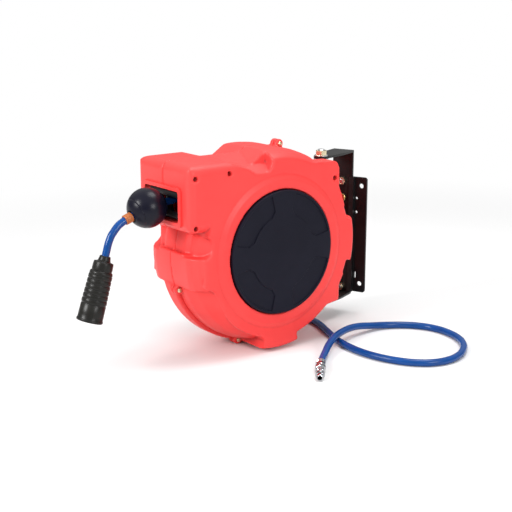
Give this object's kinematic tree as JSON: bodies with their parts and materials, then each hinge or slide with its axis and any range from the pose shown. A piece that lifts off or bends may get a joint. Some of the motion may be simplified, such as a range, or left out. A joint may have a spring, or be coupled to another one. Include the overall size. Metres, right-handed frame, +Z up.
{
  "type": "spring-rewind air hose reel",
  "caption": "Spring-rewind air hose reel in a moulded round case that swivels on a steel wall bracket, with a ball stopper, a booted outlet coupler and a looped inlet hose.",
  "frame": {"origin": "on the wall plane, in the middle of the wall plate's four fixing holes", "axes": "+Z up, -Y out from the wall, +X to the right as a person facing the wall sees it; the reel is stored swivelled 22 degrees towards its covered side"},
  "size_m": [0.4895, 0.548, 0.347],
  "materials": {
    "red_plastic": "satin",
    "navy_plastic": "satin",
    "black_steel": "satin powder coat",
    "zinc_steel": "zinc plated",
    "brass": "satin",
    "blue_hose": "glossy",
    "orange_plastic": "satin",
    "black_rubber": "matte",
    "white_plastic": "satin",
    "spring_steel": "oiled"
  },
  "bodies": {
    "bracket": {"yoke": "black_steel", "wall_plate": "black_steel", "plate_bolts": "zinc_steel", "plate_nuts": "zinc_steel", "pivot_rod": "zinc_steel", "pivot_nuts": "zinc_steel", "pivot_washers": "zinc_steel", "lock_bush": "brass"},
    "lock": {"lock_pin": "brass"},
    "case": {"case_right": "red_plastic", "case_left": "red_plastic", "side_cover_right": "navy_plastic", "side_cover_left": "navy_plastic", "case_screws": "zinc_steel", "edge_screws": "brass", "mouth_frame": "red_plastic", "roller_pins": "zinc_steel", "arbor": "zinc_steel", "pawl_pin": "zinc_steel", "pawl_spring": "spring_steel", "swivel_stem": "brass", "swivel_seals": "black_rubber", "inlet_elbow": "brass", "inlet_collar": "zinc_steel", "inlet_hose": "blue_hose", "nipple_ferrule": "zinc_steel", "inlet_nipple": "zinc_steel", "lead_out_hose": "blue_hose", "stopper_ball": "black_rubber", "stop_collar": "zinc_steel", "hose_band": "orange_plastic", "outlet_hose": "blue_hose", "coupler_boot": "black_rubber", "coupler_body": "brass", "pivot_bush_top": "white_plastic", "pivot_bush_bottom": "white_plastic"},
    "drum": {"drum_hub": "white_plastic", "drum_flange_right": "white_plastic", "drum_flange_left": "white_plastic", "flange_bolts": "zinc_steel", "spring_cup_lid": "zinc_steel", "mainspring": "spring_steel", "bush_right": "brass", "bush_left": "brass", "ratchet_ring": "white_plastic", "swivel_housing": "brass", "hub_outlet": "brass", "wound_hose": "blue_hose"},
    "pawl": {"pawl": "orange_plastic"},
    "roller_top": {"roller_top": "white_plastic"},
    "roller_bottom": {"roller_bottom": "white_plastic"},
    "roller_right": {"roller_right": "white_plastic"},
    "roller_left": {"roller_left": "white_plastic"},
    "sleeve": {"coupler_sleeve": "zinc_steel"}
  },
  "joints": [
    {"name": "case_swivel", "type": "hinge", "parent": "bracket", "child": "case", "pos_m": [0, -0.095, 0.022], "axis": [0, 0, 1], "range_deg": [-53, 97]},
    {"name": "lock_pull", "type": "slide", "parent": "bracket", "child": "lock", "axis": [0, -1, 0], "range_m": [0, 0.005], "stiffness_N_per_m": 400, "springref_m": -0.001},
    {"name": "drum_spin", "type": "hinge", "parent": "case", "child": "drum", "pos_m": [-0.05619, -0.23408, 0.022], "axis": [0.9272, -0.3746, 0], "continuous": true},
    {"name": "pawl_pivot", "type": "hinge", "parent": "case", "child": "pawl", "pos_m": [-0.08489, -0.15561, 0.05], "axis": [0.9272, -0.3746, 0], "range_deg": [0, 14], "stiffness_Nm_per_rad": 0.02, "springref_deg": -8.59},
    {"name": "roller_top_spin", "type": "hinge", "parent": "case", "child": "roller_top", "pos_m": [-0.11987, -0.3917, 0.13], "axis": [0.9272, -0.3746, 0], "continuous": true},
    {"name": "roller_bottom_spin", "type": "hinge", "parent": "case", "child": "roller_bottom", "pos_m": [-0.11987, -0.3917, 0.096], "axis": [0.9272, -0.3746, 0], "continuous": true},
    {"name": "roller_right_spin", "type": "hinge", "parent": "case", "child": "roller_right", "pos_m": [-0.09849, -0.38416, 0.113], "axis": [0, 0, 1], "continuous": true},
    {"name": "roller_left_spin", "type": "hinge", "parent": "case", "child": "roller_left", "pos_m": [-0.13002, -0.37142, 0.113], "axis": [0, 0, 1], "continuous": true},
    {"name": "sleeve_pull", "type": "slide", "parent": "case", "child": "sleeve", "axis": [0.1158, 0.2865, 0.9511], "range_m": [0, 0.004], "stiffness_N_per_m": 600, "springref_m": -0.001}
  ]
}
